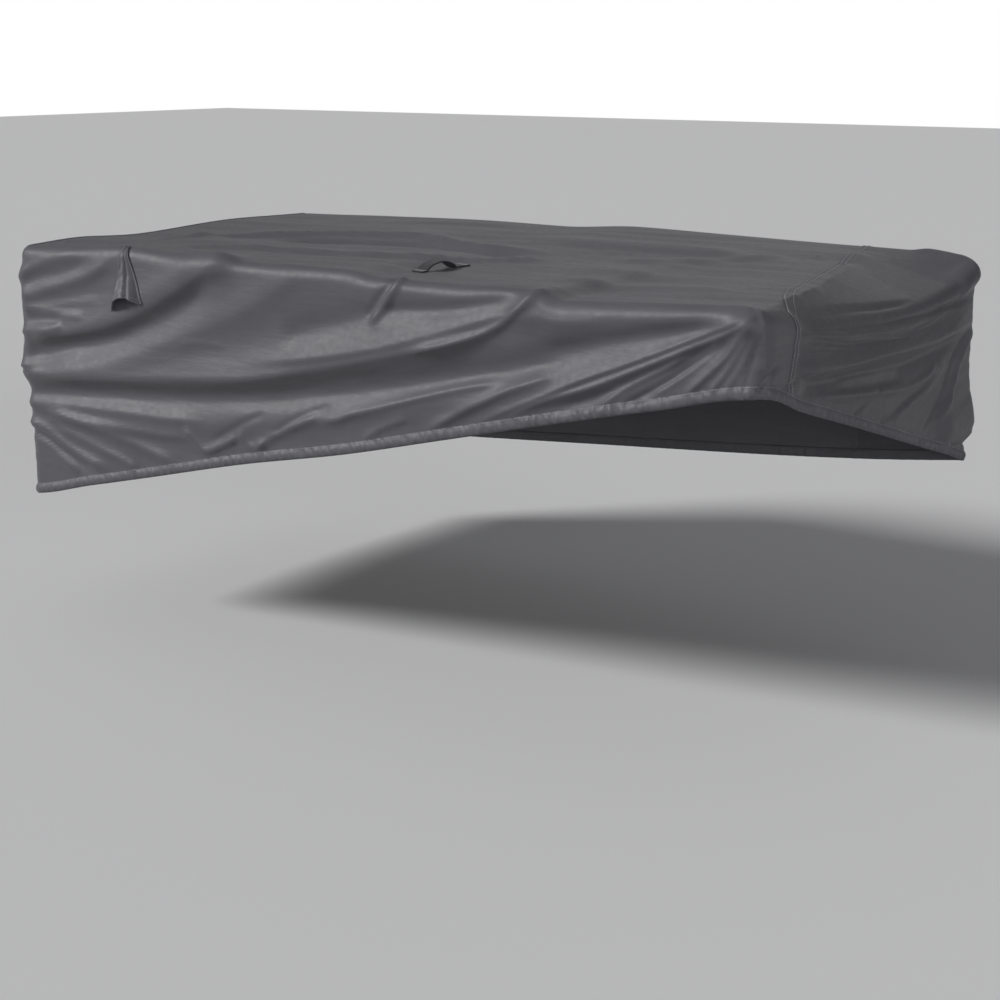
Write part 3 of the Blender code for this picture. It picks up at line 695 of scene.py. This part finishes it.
def gridFaces(rows, columns, closed=False):
    # quads of a grid of points; a closed one joins its last row and column to its first
    index = np.arange(rows * columns).reshape(rows, columns)
    if closed:
        index = np.pad(index, ((0, 1), (0, 1)), mode="wrap")
    a, b, c, d = index[:-1, :-1], index[:-1, 1:], index[1:, 1:], index[1:, :-1]
    return np.stack((a, b, c, d), -1).reshape(-1, 4)


def clothGrid(name, points, uvs, material, thickness):
    rows, columns = points.shape[:2]
    faces = gridFaces(rows, columns)
    cloth = meshObject(name, points.reshape(-1, 3), faces, material, uvs.reshape(-1, 2))
    solid = cloth.modifiers.new("thickness", "SOLIDIFY")
    solid.thickness = thickness
    solid.offset = 0.0
    solid.use_even_offset = False
    return cloth


# body panel

seams = {
    "rightFrontTop": rightStart + seamInset["front"], "rightFrontHem": rightStart + 0.066,
    "rightBackTop": backStart + seamInset["back"], "rightBackHem": backStart + 0.205,
    "leftFrontTop": -0.006, "leftFrontHem": -0.04,
    "leftBackTop": 0.006 - width, "leftBackHem": 0.02 - width,
}
body = {
    "thickness": 0.0009,
    "tuck": 0.006,  # how far it runs on under the end panels' laps
    "tuckDepth": 0.0005,
    "tuckRamp": 0.003,
    "frontRows": 76,
    "topRows": 48,
    "backRows": 17,
}


def seamAlong(side, where, share):
    start, end = seams[side + where + "Top"], seams[side + where + "Hem"]
    return start + (end - start) * share


def bodySkirt(where, shares, columns, across, lift):
    # its front or its back: points and flat places, row by row
    share = shares[:, None]
    start = seamAlong("left", where, share) + (wholeRound if where == "Back" else 0.0)
    along = start + (seamAlong("right", where, share) - start) * across
    run = share * skirtRun(along)
    cut = -run if where == "Front" else width + run
    return skirtPlace(along, run, lift), np.stack((np.broadcast_to(columns, run.shape), cut), -1)


def bodyTop(shares, columns, across, lift):
    share = shares[:, None]
    left, right = seams["leftFrontTop"], seams["rightFrontTop"]
    backLeft, backRight = seams["leftBackTop"] + wholeRound, seams["rightBackTop"]
    fromX, fromY = planPlace(left + across * (right - left), edgeRadius)[:2]
    toX, toY = planPlace(backLeft + (backRight - backLeft) * across, edgeRadius)[:2]
    x, y = fromX + (toX - fromX) * share, fromY + (toY - fromY) * share
    x = topBow(x, y)
    points = np.stack((x, y, topHeight(x, y) + lift), -1)
    return points, np.stack((np.broadcast_to(columns, x.shape), y + width / 2), -1)


def makeBody():
    left, right = seams["leftFrontTop"], seams["rightFrontTop"]
    # finest where the vent and the long folds are
    columns = stepsBetween((left - body["tuck"], 3), (left, 8), (cornerRadius, 228), (1.18, 75),
                           (length - cornerRadius, 14), (length + cornerRadius, 12), (right, 3),
                           right + body["tuck"])
    across = (columns - left) / (right - left)
    seamNear = np.minimum(across, 1 - across) * (right - left)
    tucked = -body["tuckDepth"] * (1 - smooth(seamNear / body["tuckRamp"]))
    front = bodySkirt("Front", np.linspace(1.0, 0.0, body["frontRows"] + 1), columns, across, tucked)
    top = bodyTop(np.linspace(0.0, 1.0, body["topRows"] + 1)[1:-1], columns, across, tucked)
    back = bodySkirt("Back", np.linspace(0.0, 1.0, body["backRows"] + 1), columns, across, tucked)
    points, uvs = (np.concatenate(parts) for parts in zip(front, top, back))
    return clothGrid("body_cloth", points, uvs, bodyCloth, body["thickness"])


bodyPiece = makeBody()
print("body panel made:", len(bodyPiece.data.polygons), "faces")


# end panels

end = {
    "thickness": 0.0009,
    "lapWidth": 0.0125,
    "lapEdge": 0.004,
    "lapLift": 0.0006,
    "lapPucker": 0.0004,
    "puckerSize": 0.009,
    "puckerFade": 0.015,
    "edgeShare": 0.35,  # of the lap's lift, at its very edge
    "finePart": 0.018,  # beside its seams, where the mesh is finer
}


def endAlong(side, across, share):
    first = seamAlong(side, "Front", share)
    return first + (seamAlong(side, "Back", share) - first) * across


def endTop(side, across):
    # the panel's part on the top: places on its seam, on the top's edge, and how far it is between them
    edgeX, edgeY = planPlace(endAlong(side, across, 0.0), edgeRadius)[:2]
    seamX, seamY = planPlace(endAlong(side, np.array((0.0, 1.0)), 0.0), edgeRadius)[:2]
    topX = seamX[0] + (seamX[1] - seamX[0]) * across
    topY = seamY[0] + (seamY[1] - seamY[0]) * across
    return topX, topY, edgeX, edgeY, np.hypot(edgeX - topX, edgeY - topY)


def endPlace(side, across, travelled, lift=0.0):
    # across from the front seam to the back seam, travelled down the cloth from the top seam
    topX, topY, edgeX, edgeY, wedge = endTop(side, across)
    skirt = skirtRun(endAlong(side, across, 1.0))
    downShare = np.clip((travelled - wedge) / skirt, 0.0, 1.0)
    along = endAlong(side, across, downShare)
    share = np.clip(travelled / np.maximum(wedge, 0.0002), 0.0, 1.0)
    x, y = topX + (edgeX - topX) * share, topY + (edgeY - topY) * share
    if side == "right":
        x = x + (topBow(x, y) - x) * (1 - share)
    onTop = np.stack((x, y, topHeight(x, y) + lift), -1)
    onSkirt = skirtPlace(along, downShare * skirtRun(along), lift)
    return np.where((travelled >= wedge)[..., None], onSkirt, onTop)


def endTravel(side, across):
    # how far the cloth travels from the top seam to the hem
    return endTop(side, across)[-1] + skirtRun(endAlong(side, across, 1.0))


def lapLift(side, across, travelled):
    # the turned-under edge of the end panel stands up a little where it is sewn over the body
    longest = abs(seams[side + "BackTop"] - seams[side + "FrontTop"])
    fromSide = np.minimum(across, 1 - across) * longest
    fromSeam = np.minimum(fromSide, travelled)
    runAlong = np.where(fromSide < travelled, travelled, across * longest)
    pucker = end["lapPucker"] * ripple(runAlong / end["puckerSize"], fromSeam / 0.03, 21)
    lap = 1 - smooth((fromSeam - end["lapWidth"]) / end["lapEdge"])
    lap = lap * (end["edgeShare"] + (1 - end["edgeShare"]) * smooth(fromSeam / 0.003))
    return end["lapLift"] * lap + pucker * np.exp(-fromSeam / end["puckerFade"])


def makeEnd(name, side, columns, shares):
    across = (columns - columns[0]) / (columns[-1] - columns[0])
    across, shares = np.broadcast_arrays(across[None, :], shares[:, None])
    travelled = shares * endTravel(side, across)
    points = endPlace(side, across, travelled, lapLift(side, across, travelled))
    uvs = np.stack((across * abs(columns[-1] - columns[0]), travelled), -1)
    if side == "right":
        points, uvs = points[::-1], uvs[::-1]
    return clothGrid(name, points, uvs, endClothPaintedShade, end["thickness"])


fine = end["finePart"]
rightStop, rightEnd = seams["rightFrontTop"], seams["rightBackTop"]
rightColumns = stepsBetween((rightStop, 9), (rightStop + fine, 132), (backStart - cornerRadius, 16),
                            (backStart + cornerRadius, 20), (rightEnd - fine, 7), rightEnd)
rightPiece = makeEnd("right_end_cloth", "right", rightColumns, stepsBetween((0.0, 10), (0.045, 108), 1.0))
leftStop, leftEnd = seams["leftFrontTop"], seams["leftBackTop"]
leftColumns = stepsBetween((leftStop, 7), (leftStop - fine, 96), (leftEnd + fine, 7), leftEnd)
leftPiece = makeEnd("left_end_cloth", "left", leftColumns, stepsBetween((0.0, 8), (0.045, 62), 1.0))
print("end panels made")


# hem channel

hem = {
    "step": 0.0017,
    # height above the hem's edge, distance out of the cloth
    "profile": ((0.0186, 0.0003), (0.017, 0.0007), (0.014, 0.0022), (0.009, 0.003), (0.004, 0.0026),
                (0.0008, 0.001), (0.0, -0.0006), (0.0012, -0.002), (0.006, -0.0028),
                (0.012, -0.0026), (0.0165, -0.0012), (0.0186, -0.0005)),
    "pucker": 0.0036,
    "puckerSize": 0.006,
    "slant": 0.7,
    "calm": 0.6,  # how much smoother it is at the front left corner
    "calmReach": 0.5,
}


def hemLift(along, height, out):
    # how far the channel's outside stands off the cloth, with its small gathers
    turns = (along + hem["slant"] * height) / hem["puckerSize"]
    pucker = hem["pucker"] * (ripple(turns, height / 0.02, 31) + 0.6 * ripple(turns / 2.7, height / 0.05, 32))
    around = np.mod(along, wholeRound)
    fromCorner = np.minimum(around, wholeRound - around)
    share = 1.0 - hem["calm"] * np.exp(-((fromCorner / hem["calmReach"]) ** 2))
    return out + pucker * share * smooth(out / 0.002)


def makeHem():
    count = int(round(wholeRound / hem["step"]))
    along = np.linspace(0.0, wholeRound, count, endpoint=False)
    profile = np.array(hem["profile"])
    along, height = np.broadcast_arrays(along[:, None], profile[None, :, 0])
    out = np.broadcast_to(profile[None, :, 1], along.shape)
    run = skirtRun(along) - height
    points = skirtPlace(along, run, hemLift(along, height, out))
    faces = gridFaces(*points.shape[:2], closed=True)
    uvs = np.stack((along, height), -1)
    return meshObject("hem_channel", points.reshape(-1, 3), faces, hemClothPaintedLight, uvs.reshape(-1, 2))


hemPiece = makeHem()
print("hem channel made:", len(hemPiece.data.polygons), "faces")


# stitches, by Geometry Nodes along paths on the cloth

stitch = {"pitch": 0.0042, "length": 0.0032, "radius": 0.00065, "sides": 6, "rings": 4}
seamLines = (0.0022, 0.0105)  # the two rows of a seam's stitches, from the lap's edge
seamStop = 0.004  # how far above the hem they end
hemLine = 0.0166  # height of the hem's stitches above its edge


def stitchTree(material):
    tree = bpy.data.node_groups.new("stitches", "GeometryNodeTree")
    face = tree.interface
    face.new_socket("Geometry", in_out="INPUT", socket_type="NodeSocketGeometry")
    for name in ("Pitch", "Length", "Radius"):
        socket = face.new_socket(name, in_out="INPUT", socket_type="NodeSocketFloat")
        socket.default_value = stitch[name.lower()]
    face.new_socket("Geometry", in_out="OUTPUT", socket_type="NodeSocketGeometry")
    entry, leave, toCurve, toPoints, ball, half, size, place, real, shade, paint = (
        tree.nodes.new(kind) for kind in (
            "NodeGroupInput", "NodeGroupOutput", "GeometryNodeMeshToCurve", "GeometryNodeCurveToPoints",
            "GeometryNodeMeshUVSphere", "ShaderNodeMath", "ShaderNodeCombineXYZ",
            "GeometryNodeInstanceOnPoints", "GeometryNodeRealizeInstances", "GeometryNodeSetShadeSmooth",
            "GeometryNodeSetMaterial",
        )
    )
    toPoints.mode = "LENGTH"
    for name, value in (("Segments", stitch["sides"]), ("Rings", stitch["rings"]), ("Radius", 1.0)):
        ball.inputs[name].default_value = value
    half.operation = "MULTIPLY"
    half.inputs[1].default_value = 0.5
    paint.inputs["Material"].default_value = material
    for source, output, target, entered in (
        (entry, "Geometry", toCurve, "Mesh"), (toCurve, "Curve", toPoints, "Curve"),
        (entry, "Pitch", toPoints, "Length"), (entry, "Length", half, 0),
        (entry, "Radius", size, "X"), (entry, "Radius", size, "Y"), (half, 0, size, "Z"),
        (toPoints, "Points", place, "Points"), (toPoints, "Rotation", place, "Rotation"),
        (ball, "Mesh", place, "Instance"), (size, "Vector", place, "Scale"),
        (place, "Instances", real, "Geometry"), (real, "Geometry", shade, "Geometry"),
        (shade, "Geometry", paint, "Geometry"), (paint, "Geometry", leave, "Geometry"),
    ):
        tree.links.new(source.outputs[output], target.inputs[entered])
    return tree


def sewn(name, paths, material, **sizes):
    # one plain mesh of stitches along all the paths, with sizes of its own where they are given
    points = np.concatenate(paths)
    starts = np.cumsum([0] + [len(p) for p in paths])
    edges = [(k, k + 1) for a, b in zip(starts, starts[1:]) for k in range(a, b - 1)]
    mesh = bpy.data.meshes.new(name)
    mesh.from_pydata(points.tolist(), edges, [])
    guide = addObject(name + "_path", mesh)
    tree = stitchTree(material)
    modifier = guide.modifiers.new("stitches", "NODES")
    modifier.node_group = tree
    for item in tree.interface.items_tree:
        if item.in_out == "INPUT" and item.name in sizes:
            modifier[item.identifier] = sizes[item.name]
    bpy.context.view_layer.update()
    graph = bpy.context.evaluated_depsgraph_get()
    made = addObject(name, bpy.data.meshes.new_from_object(guide.evaluated_get(graph)))
    bpy.data.objects.remove(guide, do_unlink=True)
    return made


def seamPaths(side, steps=120):
    # up the front seam, along the top seam and down the back seam, once for each row
    longest = abs(seams[side + "BackTop"] - seams[side + "FrontTop"])
    surface = end["thickness"] / 2 + stitch["radius"] / 2
    paths = []
    for offset in seamLines:
        inside = offset / longest
        across = np.concatenate((np.full(steps, inside), np.linspace(inside, 1 - inside, 300),
                                 np.full(steps, 1 - inside)))
        bottom = endTravel(side, across) - seamStop
        travelled = np.full(across.shape, offset)
        rise = np.linspace(0, 1, steps, endpoint=False)
        travelled[:steps] = bottom[:steps] + (offset - bottom[:steps]) * rise
        travelled[-steps:] = offset + (bottom[-steps:] - offset) * np.linspace(1 / steps, 1, steps)
        paths.append(endPlace(side, across, travelled, lapLift(side, across, travelled) + surface))
    return paths


seamStitches = [sewn(side + "_seam_stitches", seamPaths(side), seamThread) for side in ("right", "left")]
hemAlong = np.linspace(0.0, wholeRound, 1801)
hemHeight = np.full(hemAlong.shape, hemLine)
hemPath = skirtPlace(hemAlong, skirtRun(hemAlong) - hemHeight,
                     hemLift(hemAlong, hemHeight, np.full(hemAlong.shape, 0.0008)) + 0.0003)
hemStitches = sewn("hem_stitches", [hemPath], seamThread, Radius=0.00045)
print("seams sewn")


# vent hood

vent = {
    # along, and how far down the cloth from the top's flat
    "tip": (0.275, 0.004),
    "mouthLeft": (0.25, 0.104),
    "mouthRight": (0.328, 0.088),
    "tipWidth": 0.006,
    "tipLift": 0.0012,
    "standOff": 0.02,
    "archShare": 0.86,
    "archFullness": 0.75,
    "flare": 1.2,
    "lipRise": 0.014,
    "lipShare": 0.5,
    # the lip's turning under, its sinking and its rolled edge
    "turnUnder": 0.006,
    "sink": 0.0016,
    "roll": 0.001,
    "underRows": (1.02, 1.04, 1.07, 1.1),
    "flat": (0.037, 0.085),  # half its flat width, and its flat length
    # creases down it: place across from -1 to 1, width, height
    "creases": ((-0.42, 0.1, 0.003), (0.34, 0.12, -0.005)),
    "crumple": 0.0016,
    "seat": 0.0008,
    "across": 48,
    "rows": 52,
    "thickness": 0.0009,
    "stitchInset": 0.93,
    "stitchLift": 0.0007,
}


def ventPlace(across, down, lift=0.0):
    # across from -1 to 1, down from 0 at the tip to 1 at the mouth
    tip, left, right = (np.array(vent[k]) for k in ("tip", "mouthLeft", "mouthRight"))
    start = tip + across[..., None] * np.array((vent["tipWidth"] / 2, 0.0))
    finish = left + (right - left) * (across[..., None] + 1) / 2
    share = np.minimum(down, 1.0)
    place = start + (finish - start) * share[..., None]
    arch = np.clip(1.0 - (across / vent["archShare"]) ** 2, 0.0, 1.0)
    height = vent["standOff"] * arch ** vent["archFullness"] * share ** vent["flare"]
    for crest, creaseWidth, rise in vent["creases"]:
        height = height + rise * np.exp(-(((across - crest) / creaseWidth) ** 2)) * arch * smooth(share * 2)
    height = height + vent["crumple"] * ripple(across * 3.0, share * 8.0, 41) * arch
    lip = (share - 1.0) / vent["lipShare"] + 1.0
    place[..., 1] -= vent["lipRise"] * arch * smooth(lip)
    under = np.maximum(down - 1.0, 0.0) * 10.0  # past the mouth, down runs a tenth further
    turned = smooth(under)
    rolled = vent["roll"] * np.sin(np.minimum(under, 1.0) * math.pi)
    place[..., 1] += rolled - vent["turnUnder"] * turned * arch
    height = height - vent["sink"] * turned * arch + vent["tipLift"] * (1.0 - share) ** 2
    seated = vent["seat"] + (body["thickness"] + vent["thickness"]) / 2
    return skirtPlace(place[..., 0], place[..., 1], seated + height + lift)


def makeVent():
    across = np.linspace(-1.0, 1.0, vent["across"] + 1)[None, :]
    down = np.concatenate((np.linspace(0.0, 1.0, vent["rows"] + 1), vent["underRows"]))[::-1, None]
    across, down = (np.array(a) for a in np.broadcast_arrays(across, down))
    points = ventPlace(across, down)
    uvs = np.stack((across * vent["flat"][0], down * vent["flat"][1]), -1)
    return clothGrid("vent_hood_cloth", points, uvs, hoodClothPaintedLight, vent["thickness"])


ventPiece = makeVent()
inset, downSide, overLip = vent["stitchInset"], np.linspace(0.03, 0.97, 60), np.linspace(-0.82, 0.82, 50)
ventPaths = [
    ventPlace(np.full(60, -inset), downSide, vent["stitchLift"]),
    ventPlace(np.full(60, inset), downSide, vent["stitchLift"]),
    ventPlace(overLip, np.full(50, inset), vent["stitchLift"]),
]
ventStitches = sewn("vent_stitches", ventPaths, seamThread, Pitch=0.0036, Length=0.0026, Radius=0.00042)
print("vent hood made")


# grab handle

handle = {
    "frontFoot": (0.826, 0.09),
    "backFoot": (0.84, 0.194),
    "strap": 0.024,
    "thickness": 0.0018,
    "firstFoot": 0.012,
    "tail": 0.03,
    "rise": 0.0125,
    "archFullness": 0.75,
    "seat": 0.0006,
    "steps": 72,
    "across": 6,
    "firstTacks": (0.004, 0.009),  # rows of stitches, from its front foot
    "lastTacks": (0.026, 0.007, 0.004),  # and from its end
}
handleFront, handleBack = np.array(handle["frontFoot"]), np.array(handle["backFoot"])
handleReach = float(np.linalg.norm(handleBack - handleFront))


def handlePlace(tree, run, aside, lift=0.0):
    # run along the strap from its front foot, aside from -0.5 to 0.5 across it
    direction = (handleBack - handleFront) / handleReach
    sideways = np.array((direction[1], -direction[0])) * handle["strap"]
    loop = handleReach - handle["firstFoot"] - handle["tail"]
    free = np.clip((run - handle["firstFoot"]) / loop, 0.0, 1.0)
    arch = handle["rise"] * np.sin(free * math.pi) ** handle["archFullness"]
    place = handleFront + run[..., None] * direction + aside[..., None] * sideways
    points = np.zeros((*run.shape, 3))
    for index in np.ndindex(run.shape):
        x, y = place[index][0] - length / 2, place[index][1] - width / 2
        hit = tree.ray_cast(Vector((x, y, 1.0)), Vector((0.0, 0.0, -1.0)))[0]
        points[index] = (x, y, hit.z + handle["seat"] + handle["thickness"] / 2 + arch[index] + lift)
    return points


def makeHandle(tree):
    run = np.linspace(0.0, handleReach, handle["steps"] + 1)[:, None]
    aside = np.linspace(0.5, -0.5, handle["across"] + 1)[None, :]
    run, aside = (np.array(a) for a in np.broadcast_arrays(run, aside))
    points = handlePlace(tree, run, aside)
    uvs = np.stack((aside * handle["strap"], run), -1)
    return clothGrid("handle_webbing", points, uvs, handleWebbing, handle["thickness"])


bodyTree = BVHTree.FromObject(bodyPiece, bpy.context.evaluated_depsgraph_get())
handlePiece = makeHandle(bodyTree)
tackAside = np.linspace(-0.42, 0.42, 12)
tacks = [
    handlePlace(bodyTree, np.full(12, place), tackAside, handle["thickness"] / 2 + 0.0003)
    for place in (*handle["firstTacks"], *(handleReach - tail for tail in handle["lastTacks"]))
]
handleStitches = sewn("handle_stitches", tacks, handleThread, Pitch=0.0022, Length=0.0028, Radius=0.0005)
print("grab handle made")


# each piece hangs from the root, and the frame's part that it stands for is hidden

sewnOn = [(piece, None, "coated_cloth") for piece in (hemPiece, *seamStitches, hemStitches, ventStitches)]
for piece, node, slot in (
    (bodyPiece, "body_panel", "coated_cloth"),
    (rightPiece, "right_end_panel", "coated_cloth"),
    (leftPiece, "left_end_panel", "coated_cloth"),
    (ventPiece, "vent_hood", "coated_cloth"),
    (handlePiece, "grab_handle", "webbing"),
    *sewnOn,
    (handleStitches, None, "webbing"),
):
    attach(piece, "root")
    if node:
        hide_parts(node)
